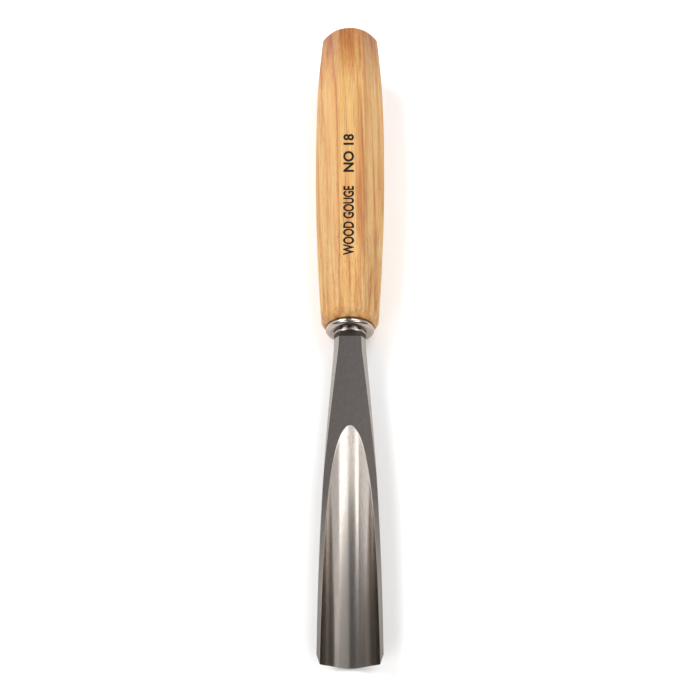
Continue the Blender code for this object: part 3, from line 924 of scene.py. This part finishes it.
cap = edge_cap()
points = np.concatenate([rings.reshape(-1, 3), cap.reshape(-1, 3)])
ring_faces = grid_faces(*rings.shape[:2])
cap_faces = open_faces(*cap.shape[:2], first=rings.size // 3)
faces = np.concatenate([ring_faces, cap_faces])
chosen = np.concatenate([blade_finishes().ravel(), np.full(len(cap_faces), GROUND)])
# scale is the scoop's steel with the painted dark reflection.
blade_steels = [satin, polished, ground, turned_finish, raw, scale]
blade = make_piece("gouge_blade", points, faces, blade_steels, chosen, sharp=25)

# %% [markdown]
# ## Riding on the frame
#
# The tool has no moving piece, so everything rides on one body. Each new piece hides the imported piece
# it stands for. The ferrule is hidden inside the handle, so
# the imported one stays, with a finish of cut tube.

# %% Ride
for piece, node, slot in ((handle, "handle", "ash_wood"), (blade, "blade", "tool_steel")):
    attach(piece, "root")
    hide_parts(node)
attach(lettering, "root")
ferrule = frame["nodes"]["ferrule"]
ferrule.data.materials.clear()
ferrule.data.materials.append(raw)

# %% [markdown]
# ## Floor and light
#
# The tool lies on plain pale paper. Polished steel shows nothing but what it mirrors, so the studio is
# built for the mirror: level softboxes above the bench, with a gap between the right one and the left
# one that the channel's middle shows as a dark line. Their near ends stop above the blade, so the
# channel gets darker towards the edge. Upright panels on both sides fill the channel's walls. Three
# more softboxes, two in front and one behind, light the wood. The front pair leaves a gap in the
# middle, so that the bolster keeps some shadow.

# %% Floor and light
FLOOR_SIZE = 8.0             # m
WORLD_STRENGTH = 0.08
LIGHT_HEIGHT = 0.45          # m from the bench to the level softboxes

bpy.ops.mesh.primitive_plane_add(size=FLOOR_SIZE)
floor = bpy.context.object
floor.name = "floor"
floor_paper, _, _ = new_finish("floor_paper", Roughness=0.9, Base_Color=linear("#fbfaf9"))
floor.data.materials.append(floor_paper)

world = bpy.data.worlds.new("studio")
bpy.context.scene.world = world
world.use_nodes = True
background = world.node_tree.nodes["Background"].inputs
background["Color"].default_value = linear("#ffffff")
background["Strength"].default_value = WORLD_STRENGTH


def add_softbox(name, place, size, radiance, aim=None):
    """A rectangular soft light of even radiance. It faces a point, or straight down.

    A flat light's power is its radiance times pi times its area.
    """
    light = bpy.data.lights.new(name, "AREA")
    light.shape = "RECTANGLE"
    light.size, light.size_y = size
    light.energy = radiance * math.pi * size[0] * size[1]
    lamp = bpy.data.objects.new(name, light)
    lamp.location = place
    if aim is not None:
        lamp.rotation_euler = (Vector(aim) - Vector(place)).to_track_quat("-Z", "Y").to_euler()
    lamp.visible_camera = False
    bpy.context.scene.collection.objects.link(lamp)


def add_ceiling_panel(name, x_range, y_range, radiance):
    """A softbox that lies level above the bench, between two places across and two along it."""
    place = (sum(x_range) / 2, sum(y_range) / 2, LIGHT_HEIGHT)
    add_softbox(name, place, (x_range[1] - x_range[0], y_range[1] - y_range[0]), radiance)


add_ceiling_panel("right_panel", (0.065, 0.42), (-0.065, 0.45), 3.6)
add_ceiling_panel("left_panel", (-0.31, -0.18), (-0.065, 0.45), 4.4)
add_ceiling_panel("middle_panel", (-0.18, 0.065), (-0.045, -0.008), 4.0)
add_ceiling_panel("right_fill", (0.02, 0.9), (-0.6, -0.065), 0.28)
AIM = (0.0, -0.02, 0.0)
add_softbox("left_wall", (-0.8, 0.4, 0.5), (0.84, 0.94), 1.4, (0.0, 0.4, 0.5))
add_softbox("right_wall", (0.8, 0.36, 0.44), (0.92, 0.82), 0.85, (0.0, 0.36, 0.44))
add_softbox("front_left_softbox", (-0.85, -1.0, 1.1), (1.0, 0.6), 5.4, AIM)
add_softbox("front_right_softbox", (0.85, -1.0, 1.1), (1.0, 0.6), 4.0, AIM)
add_softbox("back_left_softbox", (-0.75, 0.7, 0.8), (0.5, 0.5), 9.0, (0.0, 0.02, 0.0))
print("lights:", len(bpy.data.lights))

# %% [markdown]
# ## Camera
#
# The camera looks from the edge's side down onto the open channel, in the tool's middle plane. It is
# so close that perspective widens the blade's end a little.

# %% Camera
LOOK_AT_ALONG = -8.72        # mm from the wood's front end
CAMERA_DISTANCE = 0.3697     # m
CAMERA_ELEVATION = math.radians(64.0)   # above the flat of the shank
FOCAL_LENGTH = 55.13         # mm
SENSOR_WIDTH = 36.0          # mm
NEAREST = 0.01               # m: nothing closer to the camera is shown

tilt = math.asin(along_tool[2])
look_at = Vector(to_bench(np.array([0.0, 0.0, LOOK_AT_ALONG])))
rise = CAMERA_ELEVATION - tilt
back = Vector((0.0, -math.cos(rise), math.sin(rise)))
lens = bpy.data.cameras.new("camera")
lens.lens = FOCAL_LENGTH
lens.sensor_width = SENSOR_WIDTH
lens.clip_start = NEAREST
camera = bpy.data.objects.new("camera", lens)
camera.location = look_at + back * CAMERA_DISTANCE
camera.rotation_euler = (-back).to_track_quat("-Z", "Y").to_euler()
bpy.context.scene.collection.objects.link(camera)
bpy.context.scene.camera = camera
bpy.context.scene.view_settings.view_transform = "Standard"
print("camera at, m:", [round(side, 3) for side in camera.location])
